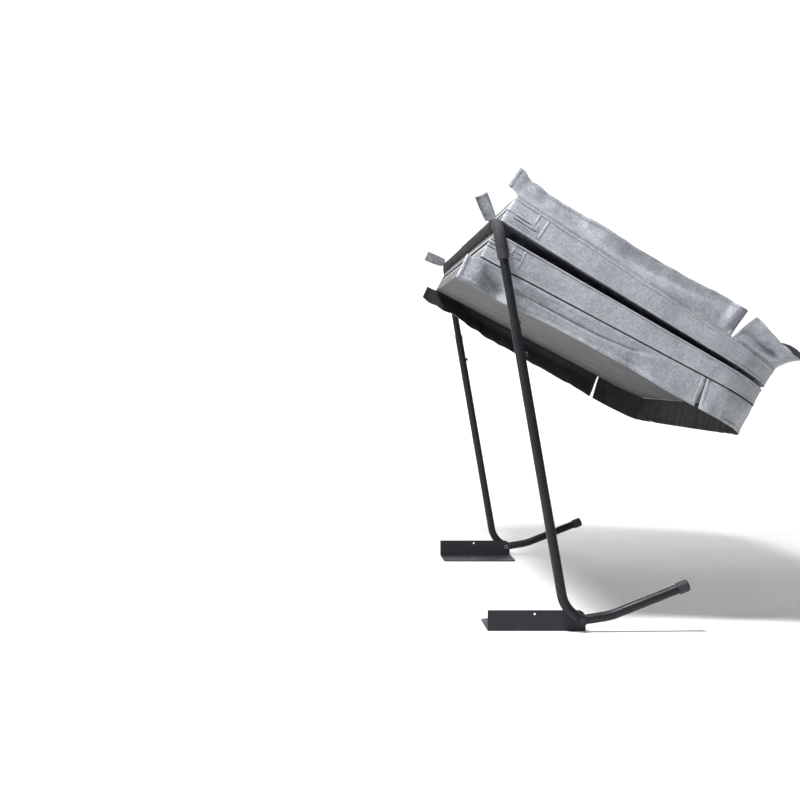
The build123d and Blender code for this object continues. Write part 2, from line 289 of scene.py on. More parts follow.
def metal(name, colour, roughness):
    shader = Shader(name, colour, roughness, metallic=1.0)
    shader.tint(shader.cells(60), [(0.0, [c * 0.8 for c in colour]), (0.6, colour)])
    shader.rough(shader.noise(90, 4), roughness - 0.08, roughness + 0.12)
    shader.bump(shader.noise(240, 3), 0.0002, 0.3)
    return shader.material


def plain(name, colour, roughness, scale, depth, specular=0.4):
    """One colour with small bumps of the given scale and depth."""
    shader = Shader(name, colour, roughness, specular=specular)
    shader.tint(shader.noise(25, 5), shades(colour, 0.78, 1.12))
    shader.bump(shader.noise(scale, 3), depth, 0.7)
    return shader.material


def sleeve_material():
    shader = Shader("sleeve_foam", linear(60, 60, 62), 0.75, specular=0.2)
    shader.tint(shader.noise(30, 6), [(0.3, linear(46, 45, 48)), (0.7, linear(58, 57, 60))])
    shader.bump(shader.noise(60, 4), 0.0008, 0.6)
    shader.bump(shader.cells(700), 0.0004, 0.7)
    return shader.material


def foam_material():
    shader = Shader("core_foam", linear(238, 240, 238), 0.8, specular=0.2)
    shader.tint(shader.cells(230), [(0.0, linear(246, 247, 245)), (0.6, linear(205, 208, 206))])
    shader.bump(shader.cells(230), 0.0012, 0.8)
    return shader.material


JACKET = vinyl("outer_vinyl", linear(149, 153, 160), linear(168, 172, 178), (0.34, 0.48))
UNDER = vinyl("under_vinyl", linear(96, 96, 96), linear(106, 106, 105), (0.62, 0.75),
              soft=0.0003, specular=0.12, mottle=0.25)
FOLD = vinyl("fold_vinyl", linear(88, 90, 86), linear(101, 102, 97), (0.46, 0.58),
             soft=0.0008, specular=0.3, mottle=0.4)
SKIRT = vinyl("skirt_vinyl", linear(140, 144, 151), linear(166, 170, 177), (0.24, 0.36),
              specular=0.6)
TAB = vinyl("tab_vinyl", linear(104, 106, 110), linear(134, 137, 142), (0.24, 0.36))
# Near-black hinge vinyl: painted shade of the hinge strip and its flange, which lie down in the
# fold between the halves.
SHADED_HINGE_VINYL = vinyl("hinge_vinyl", linear(24, 24, 22), linear(34, 33, 31), (0.6, 0.72),
               soft=0.0012, specular=0.1, mottle=0.4)
BACKING = plain("skirt_backing", linear(44, 44, 46), 0.85, 1400, 0.0002, 0.2)
THREAD = plain("thread", linear(206, 210, 214), 0.65, 2500, 0.0001)
# Near-black zip tape: the real black tape, made darker and laid wide as painted shadow of the zip's
# gap.
TAPE_AND_GAP_SHADE = plain("zip_tape", linear(14, 14, 16), 0.8, 1800, 0.0003, 0.2)
COIL = plain("zip_coil", linear(24, 24, 26), 0.45, 900, 0.0001)
TUBE = coated("tube_paint", linear(29, 30, 34), 0.38)
BRACKET = coated("bracket_paint", linear(40, 40, 45), 0.5)
BOLT = coated("dark_bolt", linear(46, 47, 50), 0.34, 1500)
ZINC = metal("zinc_nut", linear(176, 178, 176), 0.34)
STEEL = metal("channel_steel", linear(178, 182, 184), 0.38)
NYLON = plain("nylon", linear(226, 224, 214), 0.42, 900, 0.0001)
RUBBER = plain("cap_rubber", linear(46, 48, 52), 0.62, 700, 0.0004, 0.35)
SLEEVE = sleeve_material()
CORE = foam_material()

NODE_LOOKS = [
    (("foam_core",), CORE),
    (("fold_channel",), STEEL),
    (("base_bracket",), BRACKET),
    (("lower_arm", "upper_arm", "crossbar_tube", "foot_tube", "pivot_hub"), TUBE),
    (("elbow_sleeve",), SLEEVE),
    (("foot_cap",), RUBBER),
    (("pivot_bush", "pivot_washer"), NYLON),
    (("zipper_pull",), JACKET),
    (("pivot_nut",), ZINC),
    (("pivot_bolt", "screws"), BOLT),
    (("hinge_strip", "hinge_tab"), SHADED_HINGE_VINYL),
    (("zipper",), TAPE_AND_GAP_SHADE),
]


# ---- meshes ----
def mesh_object(name, points, faces, material):
    mesh = bpy.data.meshes.new(name)
    mesh.from_pydata([tuple(p) for p in points], [], [tuple(int(i) for i in f) for f in faces])
    mesh.materials.append(material)
    mesh.polygons.foreach_set("use_smooth", [True] * len(mesh.polygons))
    mesh.update()
    obj = bpy.data.objects.new(name, mesh)
    bpy.context.scene.collection.objects.link(obj)
    return obj


def part_of(name, points, faces, material):
    """A mesh of only some faces of a larger one."""
    faces = [list(f) for f in faces]
    used = sorted({i for f in faces for i in f})
    place = {old: new for new, old in enumerate(used)}
    renumbered = [[place[i] for i in f] for f in faces]
    return mesh_object(name, np.asarray(points)[used], renumbered, material)


def quads(rows, columns, wrap=False):
    """Faces of a grid of points; wrap also joins its last column to its first."""
    cells = []
    for i in range(rows - 1):
        here, below = i * columns, (i + 1) * columns
        for j in range(columns if wrap else columns - 1):
            k = (j + 1) % columns
            cells.append((here + j, here + k, below + k, below + j))
    return cells


def swept(name, places, outs, ups, profile, material):
    """A profile of (outward, up) points carried along a path, as a closed skin."""
    profile = np.asarray(profile)
    count = len(profile)
    points = (places[:, None] + profile[None, :, :1] * outs[:, None]
              + profile[None, :, 1:] * ups[:, None])
    faces = quads(len(places), count, wrap=True)
    faces.append(tuple(reversed(range(count))))
    faces.append(tuple(range((len(places) - 1) * count, len(places) * count)))
    return mesh_object(name, points.reshape(-1, 3), faces, material)


def ring(radius, steps=8):
    turn = np.linspace(0, 2 * math.pi, steps, endpoint=False)
    return np.stack([radius * np.cos(turn), radius * np.sin(turn)], axis=-1)


def pillow(width, height):
    """Low rounded strip: flat against the surface, soft at both edges."""
    across = np.array([-1, -0.86, -0.5, 0, 0.5, 0.86, 1]) * width / 2
    rise = np.array([0.0, 0.72, 1, 1.06, 1, 0.72, 0.0]) * height
    front = np.stack([rise, across], axis=-1)
    return np.concatenate([front, [(-0.0006, width / 2), (-0.0006, -width / 2)]])


def solidify(obj, thickness, offset, inner=None):
    mod = obj.modifiers.new("thickness", "SOLIDIFY")
    mod.thickness = thickness
    mod.offset = offset
    mod.use_even_offset = False
    if inner is not None:
        obj.data.materials.append(inner)
        mod.material_offset = 1
    bpy.context.view_layer.objects.active = obj
    with bpy.context.temp_override(object=obj, active_object=obj):
        bpy.ops.object.modifier_apply(modifier=mod.name)


def wobble(points, size, seed):
    """Smooth noise at each point, with lumps of about the given size in metres."""
    shift = Vector((seed, seed * 1.7, seed * 0.3))
    return np.array([noise.noise(Vector(p) / size + shift) for p in points])


def smoothstep(x):
    x = np.clip(x, 0, 1)
    return x * x * (3 - 2 * x)


def hemmed(names, grid, flip, border, materials, thicknesses, body):
    """Cloth of a hung sheet, and its hem along every edge but the grid's first row.

    border is the hem's breadth at the two sides, in cells.
    """
    rows, columns = grid.shape[:2]
    points = grid.reshape(-1, 3)
    faces = [tuple(reversed(f)) if flip else f for f in quads(rows, columns)]
    hem_faces = [f for f in faces if min(f) % columns < border
                 or min(f) % columns >= columns - border - 1 or min(f) // columns >= rows - 4]
    cloth = mesh_object(names[0], points, faces, materials[0])
    hem = part_of(names[1], points, hem_faces, materials[0])
    for piece, thickness in zip((cloth, hem), thicknesses):
        solidify(piece, thickness, 0, *materials[1:])
        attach(piece, body)
    return cloth, hem


class Stitches:
    """Rows of sewn stitches on one body, gathered into one mesh."""

    def __init__(self, material=THREAD):
        self.material = material
        self.points = []
        self.faces = []

    def row(self, path, normals, pitch=STITCH_PITCH, length=STITCH_LENGTH, radius=STITCH_RADIUS):
        """Stitches along a path, each a slim double cone that lies on the normal's side of it."""
        path = np.asarray(path)
        steps = np.linalg.norm(np.diff(path, axis=0), axis=1)
        along = np.concatenate([[0], np.cumsum(steps)])
        for s in np.arange(pitch / 2, along[-1], pitch):
            i = min(np.searchsorted(along, s) - 1, len(path) - 2)
            share = (s - along[i]) / max(steps[i], 1e-9)
            centre = path[i] + share * (path[i + 1] - path[i])
            tangent = (path[i + 1] - path[i]) / max(steps[i], 1e-9)
            normal = normals[i] / np.linalg.norm(normals[i])
            across = np.cross(normal, tangent)
            first = len(self.points)
            lift = centre + normal * 0.0002
            self.points += [lift - tangent * length / 2, lift + tangent * length / 2,
                            lift + normal * radius, lift - normal * radius,
                            lift + across * radius, lift - across * radius]
            a, b, c, d, e, f = range(first, first + 6)
            self.faces += [(a, e, c), (a, c, f), (a, f, d), (a, d, e),
                           (b, c, e), (b, f, c), (b, d, f), (b, e, d)]

    def finish(self, name, body):
        obj = mesh_object(name, self.points, self.faces, self.material)
        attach(obj, body)


# ---- padded halves ----
NOISE_SEED = {"rear": 3.1, "front": 8.7}
# Depth and length of the vinyl's unevenness: along the seams, and in the large faces.
PUCKER = (0.0013, 0.034)
SLACK = (0.0011, 0.22)
FINE_SLACK = (0.0006, 0.075)
SIDE_CROWN = 0.0016             # how far the side band is rounded out
FOLD_CROWN = 0.0012
UPPER, UNDERSIDE, FOLD_FACE = range(3)
# In that order: name, material, slot and the nodes it stands for.
SKINS = [("jacket", JACKET, "outer_vinyl", ("top_panel", "side_band")),
         ("underside", UNDER, "under_vinyl", ("bottom_panel",)),
         ("fold_face", FOLD, "fold_vinyl", ("fold_band",))]


def slack(half, points):
    """How far the vinyl stands off the half at each point."""
    u, y, w = points.T
    head = half.top(u)
    seed = NOISE_SEED[half.name]
    seam = np.minimum(np.minimum(half.half_width - abs(y), half.end - u), u - half.fold)
    edge = np.minimum(abs(w - half.bottom), abs(head - w))
    near_seam = np.exp(-np.where(edge < 1e-4, np.maximum(seam, 0), edge) / 0.02)
    puckers = wobble(points * [1, 1, 0.25], PUCKER[1], seed) * near_seam * PUCKER[0]
    loose = ((0.6 + wobble(points, SLACK[1], seed + 1)) * SLACK[0]
             + (0.5 + wobble(points, FINE_SLACK[1], seed + 2)) * FINE_SLACK[0])
    middle = np.clip(4 * (w - half.bottom) * (head - w) / (head - half.bottom)**2, 0, 1)
    on_fold = smoothstep((half.fold + 0.006 - u) / 0.006)
    bulge = on_fold * middle * FOLD_CROWN * (1 + 0.5 * wobble(points, 0.3, seed + 3))
    side = middle * (1 - on_fold) * SIDE_CROWN * (0.8 + wobble(points, 0.14, seed + 4))
    push = np.maximum(loose + puckers, 0.0001) + bulge + side
    # Flat under the zip and under the hinge strip's flange.
    flat = np.maximum(np.exp(-((w - half.zip_level) / 0.016) ** 2),
                      smoothstep((w - head + 0.02) / 0.012))
    return push * (1 - 0.85 * on_fold * flat)


def shell(half):
    """Top, band, fold face and underside of one half, with the vinyl's slack in it."""
    columns = int(2 * half.half_width / GRID)
    across = np.linspace(-1, 1, columns)
    u_in, h_in = half.rows(EDGE_ROUND)
    rows = len(u_in)
    plan = np.stack([np.repeat(u_in[:, None], columns, 1), h_in[:, None] * across], axis=-1)
    top = np.dstack([plan, half.top(plan[..., 0])]).reshape(-1, 3)
    base = np.dstack([plan, np.full(plan.shape[:2], half.bottom)]).reshape(-1, 3)

    loop = ([(i, 0) for i in range(rows)] + [(rows - 1, j) for j in range(1, columns)]
            + [(i, columns - 1) for i in range(rows - 2, -1, -1)]
            + [(0, j) for j in range(columns - 2, 0, -1)])
    # Rings down the band: inset from the plan, rise, and share of the way down.
    bend = [(EDGE_ROUND * (1 - math.cos(a)), EDGE_ROUND * (1 - math.sin(a)))
            for a in np.radians([60, 30, 0])]
    levels = [(inset, -rise, 0.0) for inset, rise in bend]
    levels += [(0.0, 0.0, share) for share in np.linspace(0, 1, 9)[1:-1]]
    levels += [(inset, rise, 1.0) for inset, rise in bend[::-1]]
    rings = []
    for inset, rise, share in levels:
        u, h = half.rows(inset)
        for i, j in loop:
            high = half.top(u[i])
            if share in (0.0, 1.0):
                w = (high if share == 0 else half.bottom) + rise
            else:
                w = high - EDGE_ROUND + share * (half.bottom - high + 2 * EDGE_ROUND)
            rings.append((u[i], h[i] * across[j], w))
    size = rows * columns
    count = len(loop)
    points = np.concatenate([top, base, rings])

    cells = quads(rows, columns)
    faces = [tuple(reversed(f)) for f in cells]
    kinds = [UPPER] * len(faces)
    faces += [tuple(i + size for i in f) for f in cells]
    kinds += [UNDERSIDE] * len(cells)
    layers = [[i * columns + j for i, j in loop]]
    layers += [[2 * size + k * count + n for n in range(count)] for k in range(len(levels))]
    layers += [[size + i * columns + j for i, j in loop]]
    fold_start = 2 * (rows - 1) + columns - 1
    for upper, lower in zip(layers, layers[1:]):
        for n in range(count):
            m = (n + 1) % count
            faces.append((upper[n], lower[n], lower[m], upper[m]))
            under = upper is not layers[0] and lower in layers[-3:]
            kinds.append(FOLD_FACE if n >= fold_start - 1 else UNDERSIDE if under else UPPER)
    kinds = np.array(kinds)
    if np.dot(np.cross(half.u_axis, Y), half.w_axis) < 0:
        faces = [tuple(reversed(f)) for f in faces]

    rest = half.world(points)
    probe = mesh_object("probe", rest, faces, JACKET)
    normals = np.empty(len(points) * 3)
    probe.data.vertex_normals.foreach_get("vector", normals)
    normals = normals.reshape(-1, 3)
    bpy.data.objects.remove(probe)

    placed = rest + normals * slack(half, points)[:, None]
    for kind, (name, look, slot, nodes) in enumerate(SKINS):
        chosen = [faces[k] for k in np.flatnonzero(kinds == kind)]
        piece = part_of(f"{half.name}_{name}", placed, chosen, look)
        solidify(piece, JACKET_THICK, -1)
        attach(piece, f"{half.name}_half")
        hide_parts(*[f"{half.name}_{node}" for node in nodes])
    return BVHTree.FromPolygons([tuple(p) for p in placed], faces)


def on_surface(tree, points):
    """Nearest places on a surface, and its normals there."""
    hits = [tree.find_nearest(Vector(p)) for p in points]
    return np.array([h[0] for h in hits]), np.array([h[1] for h in hits])


def facing(normals, wanted):
    """The same normals, turned to the side that wanted points to."""
    sign = np.sign(np.sum(normals * wanted, axis=1))
    return normals * np.where(sign == 0, 1, sign)[:, None]


WELT_RADIUS = {"rear": 0.0034, "front": 0.0046}
BINDING_WIDTH = {"rear": 0.007, "front": 0.010}
BINDING_FOOT = 0.005    # lower edge of the binding above the underside
BORDER = 0.010          # stitched border below the top edge and inside it
SEAM_WIDTH = 0.009
SEAM_HEIGHT = 0.0011
# Seams across the side bands: u, lower and upper end above the underside, name.
BAND_SEAMS = {
    "rear": [(0.087, 0.040, 0.078, "zip_patch"), (0.127, 0.018, 0.085, "band_seam")],
    "front": [(0.103, 0.012, 0.045, "zip_patch"), (0.137, 0.016, 0.082, "band_seam")],
}


def trim(half, tree, stitches):
    """Welts, bindings, seam stitching and the skirt seam's cord of one half; on the rear half that
    cord is a painted shadow line.
    """
    body = f"{half.name}_half"
    foot = half.bottom + BINDING_FOOT
    wide = BINDING_WIDTH[half.name]

    def rail(name, path, level, profile, material):
        ups = np.tile(half.w_axis, (len(path), 1))
        piece = swept(f"{half.name}_{name}", half.at(path, level), half.outward(path), ups,
                      profile, material)
        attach(piece, body)

    path = half.rim(0.0002)
    rail("top_welt", path, half.top(path[:, 0]) - 0.0012, ring(WELT_RADIUS[half.name]), JACKET)
    path = half.rim(0.0012)
    # On the rear half the cord is near-black skirt backing: a painted shadow line of the groove
    # under the binding. On the front half it is a real cord of jacket vinyl.
    seam_cord_and_shadow = BACKING if half.name == "rear" else JACKET
    rail("skirt_seam", path, half.bottom + 0.0026, ring(0.0021), seam_cord_and_shadow)
    rail("binding", path, foot + wide / 2, pillow(wide, 0.0022), JACKET)

    rim = half.rim(0.0008)
    outs = half.outward(rim)
    for level, lift in ((foot + wide + 0.0035, 0.0), (foot + wide * 0.5, 0.0024)):
        found, normal = on_surface(tree, half.at(rim, level))
        stitches.row(found + outs * lift, facing(normal, outs))
    found, normal = on_surface(tree, half.at(rim, half.top(rim[:, 0]) - BORDER))
    stitches.row(found, facing(normal, outs))
    inner = half.rim(-BORDER)
    stitches.row(*on_surface(tree, half.at(inner, half.top(inner[:, 0]))))

    for side, sign in SIDES.items():
        for station, low, high, seam in BAND_SEAMS[half.name]:
            level = np.linspace(half.bottom + low, half.bottom + high, 12)
            line = half.world([(station, sign * half.half_width, w) for w in level])
            found, normal = on_surface(tree, line)
            normal = facing(normal, np.tile(sign * Y, (len(line), 1)))
            along = np.tile(half.u_axis, (len(line), 1))
            piece = swept(f"{half.name}_{side}_{seam}", found, normal, along,
                          pillow(SEAM_WIDTH, SEAM_HEIGHT), JACKET)
            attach(piece, body)
            for shift, lift in ((-0.0075, 0.0), (0.0, SEAM_HEIGHT)):
                stitches.row(found + along * shift + normal * lift, normal)


LIP_SHIFT = 0.0140      # middle of each lip from the middle of the zip
LIP_SEAM = 0.0156
SIDE_GAPE = 0.42        # on the side bands the lips lie closer together
ZIP_PROUD = 0.0012      # most the zip stands off the sides; nothing on the fold face


def zipper(half):
    """Tape, coil and the two vinyl lips of the zip that closes the jacket. The wide near-black tape
    is partly the real tape and partly painted shadow of the gap between the lips.
    """
    body = f"{half.name}_half"
    reach = half.local(node_points(f"{half.name}_zipper"))[:, 0].max() - 0.004

    def line(outset, shift, gape=1.0):
        """Places and outward directions of a line along the zip, at shift from its middle."""
        path = half.fold_path(outset, reach)
        drop = 0.5 * half.slope * np.clip(path[:, 0] - half.fold, 0, None)
        spread = shift * np.where(path[:, 2] < -0.9, 1.0, gape)
        outs = half.outward(path)
        places = half.at(path, half.zip_level + drop + spread)
        return places + outs * ZIP_PROUD * (1 + path[:, 2:3]), outs

    def strip(name, shift, outset, profile, material):
        places, outs = line(outset, shift, SIDE_GAPE)
        ups = np.tile(half.w_axis, (len(places), 1))
        piece = swept(f"{half.name}_{name}", places, outs, ups, profile, material)
        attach(piece, body)
        return piece, places, outs

    # 26 mm of near-black tape: partly the real tape, partly painted shadow in the gap between the
    # lips.
    tape, places, outs = strip("zip_tape", 0, 0.0008, pillow(0.026, 0.0004), TAPE_AND_GAP_SHADE)
    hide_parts(f"{half.name}_zipper")
    lip = pillow(0.0096, 0.0010)
    strip("upper_lip", LIP_SHIFT, 0.0007, lip, JACKET)
    strip("lower_lip", -LIP_SHIFT, 0.0007, lip, JACKET)
    teeth = Stitches(COIL)
    ups = np.tile(half.w_axis, (len(places), 1))
    teeth.row(places + outs * 0.0006, ups, pitch=0.0026, length=0.0019, radius=0.0010)
    teeth.finish(f"{half.name}_zip_coil", body)
    sewn = Stitches()
    for shift in (LIP_SEAM, -LIP_SEAM):
        sewn.row(*line(0.0018, shift))
    sewn.finish(f"{half.name}_zip_stitches", body)


# ---- skirts ----
DEPTHS = (0, 0.08, 0.16, 0.26, 0.38, 0.5, 0.65, 0.8, 0.92, 1)
# Lean of each skirt away from the half, degrees: rows by place along it in metres, columns
# by DEPTHS.
SIDE_LEAN = {
    ("rear", "right"): {
        -0.038: (30, 32, 33, 33, 33, 32, 31, 30, 28, 28),
        0.006: (0, 10, 20, 26, 28, 28, 28, 28, 28, 28),
        0.030: (0, -6, 2, 18, 28, 29, 29, 28, 28, 28),
        0.055: (-8, -24, -36, -30, 6, 28, 30, 29, 28, 28),
        0.080: (-12, -30, -36, -42, -42, -12, 24, 30, 30, 30),
        0.105: (-8, -28, -34, -30, -30, -34, -20, 8, 26, 30),
        0.140: (6, -2, -22, -32, -30, -18, -16, -20, 4, 22),
        0.220: (14, 8, -20, -36, -36, -18, -20, -26, 8, 28),
        0.330: (16, 10, -18, -34, -36, -18, -20, -24, 8, 28),
        0.435: (16, 10, -16, -32, -34, -18, -22, -20, 10, 28),
        0.560: (16, 4, -20, -30, -20, -16, -24, -10, 18, 26),
        0.640: (10, -4, -8, -12, -12, -12, -10, 0, 16, 20),
        0.720: (4, 6, 0, -8, -14, -12, -6, 4, 14, 18),
        0.825: (-6, 10, 6, -8, -18, -18, -14, -2, 12, 22)},
    ("rear", "left"): {
        -0.038: (-6, -14, -40, -56, -60, -60, -56, -52, -46, -44),
        0.050: (-10, -18, -46, -58, -60, -60, -56, -52, -46, -42),
        0.110: (-50, -56, -58, -58, -58, -57, -56, -52, -46, -42),
        0.300: (-30, 0, 20, 0, -30, -40, -40, -30, 0, 15),
        0.825: (-20, 0, 20, 0, -20, -26, -22, -10, 8, 18)},
    ("front", "right"): {
        -0.038: (-38, -38, -38, -38, -38, -37, -36, -34, -31, -28),
        0.015: (-47, -47, -46, -45, -43, -42, -40, -36, -31, -26),
        0.070: (-60, -60, -59, -57, -54, -48, -40, -30, -18, -10),
        0.190: (-58, -58, -60, -62, -60, -48, -32, -18, -4, 6),
        0.345: (-12, -20, -40, -60, -58, -34, -2, 18, 26, 30),
        0.455: (2, -6, -28, -52, -54, -28, 10, 26, 32, 34),
        0.680: (6, 0, -12, -26, -34, -20, 12, 28, 32, 34),
        0.765: (-20, -22, -20, -12, -4, 4, 12, 18, 22, 28),
        0.795: (-12, -4, 6, 16, 24, 30, 32, 30, 28, 28),
        0.825: (-22, -22, -18, -10, -4, 2, 6, 12, 20, 26)},
    ("front", "left"): {
        -0.038: (-84, -84, -84, -84, -83, -82, -80, -78, -74, -70),
        0.120: (-84, -83, -82, -80, -77, -74, -68, -60, -50, -42),
        0.300: (-60, -58, -56, -52, -46, -38, -28, -16, -4, 6),
        0.500: (-32, -36, -36, -30, -22, -12, 0, 10, 18, 24),
        0.825: (-22, -20, -14, -6, 2, 8, 14, 20, 28, 36)},
}
# Lengthwise folds: places along the skirt, depth of the fold there, its extra lean, and its
# breadth.
FOLDS = {
    ("rear", "right"): [
        ((0.10, 0.14, 0.22, 0.33, 0.44, 0.56, 0.63, 0.70),
         (0.46, 0.48, 0.52, 0.54, 0.53, 0.40, 0.22, 0.10),
         (0, 80, 94, 94, 92, 82, 60, 0), 0.055),
        ((0.42, 0.50, 0.62, 0.74), (0.74, 0.80, 0.84, 0.86), (0, 36, 36, 0), 0.06)],
    ("front", "right"): [
        ((0.18, 0.33, 0.50, 0.66, 0.76), (0.16, 0.27, 0.43, 0.56, 0.62),
         (0, -26, -40, -34, 0), 0.09),
        ((0.30, 0.42, 0.60, 0.70), (0.05, 0.10, 0.16, 0.2), (0, -24, -24, 0), 0.06)],
}
# Lean of the end skirts, by distance from the slit; the far half of each mirrors the near half.
END_LEAN = {
    "rear": {
        0.00: (-8, 4, 4, 0, -3, -4, -2, 2, 8, 14),
        0.12: (-8, 8, 8, 4, 0, -2, 0, 4, 10, 14),
        0.29: (-4, 8, 8, 4, 2, 2, 4, 8, 12, 16),
        0.75: (0, 16, 20, 14, 10, 8, 12, 16, 20, 26),
        1.21: (-5, 12, 18, 18, 14, 12, 14, 18, 22, 28)},
    "front": {
        0.00: (0, 12, 14, 12, 12, 14, 16, 18, 20, 22),
        0.035: (20, 40, 10, -20, 0, 22, 26, 26, 26, 26),
        0.07: (40, 72, 30, -50, -34, 20, 34, 32, 30, 28),
        0.12: (36, 76, 64, -34, -60, 6, 56, 54, 48, 44),
        0.150: (30, 70, 74, 40, -16, 20, 66, 68, 62, 56),
        0.175: (24, 58, 64, 62, 38, 46, 56, 56, 50, 42),
        0.20: (12, 46, 56, 52, 42, 48, 54, 54, 50, 46),
        0.222: (8, 34, 40, 36, 28, 30, 32, 32, 30, 28),
        0.25: (4, 14, 14, 4, -6, -12, -16, -20, -22, -24),
        0.29: (2, 4, 0, -6, -12, -16, -20, -22, -24, -24),
        0.50: (2, 4, 2, -2, -6, -8, -10, -10, -10, -10),
        0.80: (2, 6, 6, 2, 0, -4, -6, -6, -4, -2),
        1.21: (2, 6, 8, 4, 0, -4, -6, -6, -4, -2)},
}
# Degrees of loose ripple: along the hem, and finer.
RIPPLE = {"rear_right": (3, 2), "rear_left": (8, 6), "front_right": (3, 3), "front_left": (8, 6),
          "rear_end": (9, 5), "front_end": (9, 6)}
# Slide of the hem along the skirt, degrees, towards the outer edge of the half.
SIDE_SWAY = {"rear": ((-0.038, 0.1, 0.3, 0.6, 0.825), (1, 3, 18, 18, 6)),
             "front": ((-0.038, 0.2, 0.825), (2, 3, 1))}
END_SWAY = {"rear": ((0, 0.18, 0.3), (11, 6, 0)), "front": ((0, 0.12, 0.18, 0.3), (15, 9, 1, 0))}


def lean_at(table, s, depth, folds=()):
    """Degrees of lean at each place s and one depth."""
    stations = sorted(table)
    column = [np.interp(depth, DEPTHS, table[k]) for k in stations]
    lean = np.interp(s, stations, column)
    for places, centres, sizes, breadth in folds:
        away = (depth - np.interp(s, places, centres)) / breadth
        lean = lean + np.interp(s, places, sizes) * np.exp(-away**2)
    return lean


def marched(half, roots, outs, tangents, s, length, lean, sway, ripples, seed):
    """Grid of a skirt let down from its root; each step keeps its length, so nothing stretches."""
    depths = np.concatenate([np.linspace(0, length - HEM, 16), length - HEM * HEM_STEPS[::-1]])
    rows = [roots]
    ripple = noise_line(s, 0.11, seed)
    fine = noise_line(s, 0.043, seed + 5)
    for k in range(1, len(depths)):
        step = depths[k] - depths[k - 1]
        depth = (depths[k] + depths[k - 1]) / 2 / length
        loose = ripple * ripples[0] * 2 * depth + fine * ripples[1] * 2 * math.sin(math.pi * depth)
        phi = np.radians(lean(s, depth) + loose)
        phi += np.radians(5 * noise_line(s, 0.09, seed + 11 + 2.6 * depth))
        psi = np.radians(sway)
        move = (np.cos(phi) * np.cos(psi))[:, None] * -half.w_axis
        move = move + np.sin(phi)[:, None] * outs + (np.cos(phi) * np.sin(psi))[:, None] * tangents
        rows.append(rows[-1] + step * move)
    return np.array(rows)


def noise_line(s, size, seed):
    """Smooth noise at each place along a skirt."""
    return np.array([noise.noise(Vector((x / size, seed, seed * 0.7))) for x in s])


def skirt_pieces(half, name, grid, node, stitches, outs):
    """Cloth, hem and hem stitching from one skirt's grid."""
    rows, columns = grid.shape[:2]
    middle = columns // 2
    down = grid[1, middle] - grid[0, middle]
    along = grid[0, middle + 1] - grid[0, middle]
    flip = np.dot(np.cross(along, down), outs[middle]) < 0
    cloth, hem = hemmed((name, f"{name}_hem"), grid, flip, 3, (SKIRT, BACKING),
                        (SKIRT_THICK, HEM_THICK), f"{half.name}_half")
    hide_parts(node)

    def sew(i, j):
        """Stitches on the outer side of the cells i, j."""
        down = grid[i + 1, j] - grid[i - 1, j]
        side = grid[i, j + 1] - grid[i, j - 1]
        normal = np.cross(side, down)
        normal /= np.linalg.norm(normal, axis=1)[:, None]
        normal = facing(normal, outs[j] + 1e-9)
        stitches.row(grid[i, j] + normal * STITCH_LIFT, normal)

    line = np.arange(3, columns - 3)
    sew(np.full(len(line), rows - 4), line)
    for column in (3, columns - 4):
        run = np.arange(1, rows - 3)
        sew(run, np.full(len(run), column))


def edged(start, stop):
    """Places along a skirt, with three narrow hem cells at each end."""
    lead = HEM_STEPS * HEM
    inner = np.linspace(start + HEM, stop - HEM, int((stop - start) / SKIRT_PITCH))
    return np.concatenate([start + lead, inner, stop - lead[::-1]])


def side_skirt(half, side, stitches):
    """Skirt along one side, with a free tongue past the fold; s is the place along it."""
    node = half.local(node_points(f"{half.name}_{side}_skirt"))
    length = node[:, 2].max() - node[:, 2].min()
    s = edged(TONGUE_END, node[:, 0].max())
    free = smoothstep((half.fold + 0.004 - s) / 0.03)
    early = smoothstep((half.fold + 0.050 - s) / 0.04)
    sign = SIDES[side]
    # The two halves' tongues stand apart sideways, so they pass each other as the cover unfolds.
    spread = SKIRT_PROUD + (0.0045 * early if half.name == "rear" else -0.0035 * free)
    hang = 0.003 if (half.name, side) == ("rear", "left") else 0.009
    place = s
    if (half.name, side) == ("front", "left"):      # this tongue is folded back on its own skirt
        turn_back = half.fold + 0.003
        place = turn_back + abs(s - turn_back)
        spread = spread - 0.003 * free
    roots = half.world(np.column_stack(
        [place, sign * (half.half_width + spread), half.bottom - hang * free]))
    outs = np.tile(sign * Y, (len(s), 1))
    tangents = np.tile(half.u_axis, (len(s), 1))
    table = SIDE_LEAN[half.name, side]
    folds = FOLDS.get((half.name, side), ())
    sway = np.interp(s, *SIDE_SWAY[half.name])
    seed = 2.0 + 5 * HALVES.index(half.name) + (11 if side == "left" else 0)
    grid = marched(half, roots, outs, tangents, s, length,
                   lambda places, depth: lean_at(table, places, depth, folds), sway,
                   RIPPLE[f"{half.name}_{side}"], seed)
    skirt_pieces(half, f"{half.name}_{side}_skirt_cloth", grid, f"{half.name}_{side}_skirt",
                 stitches, outs)


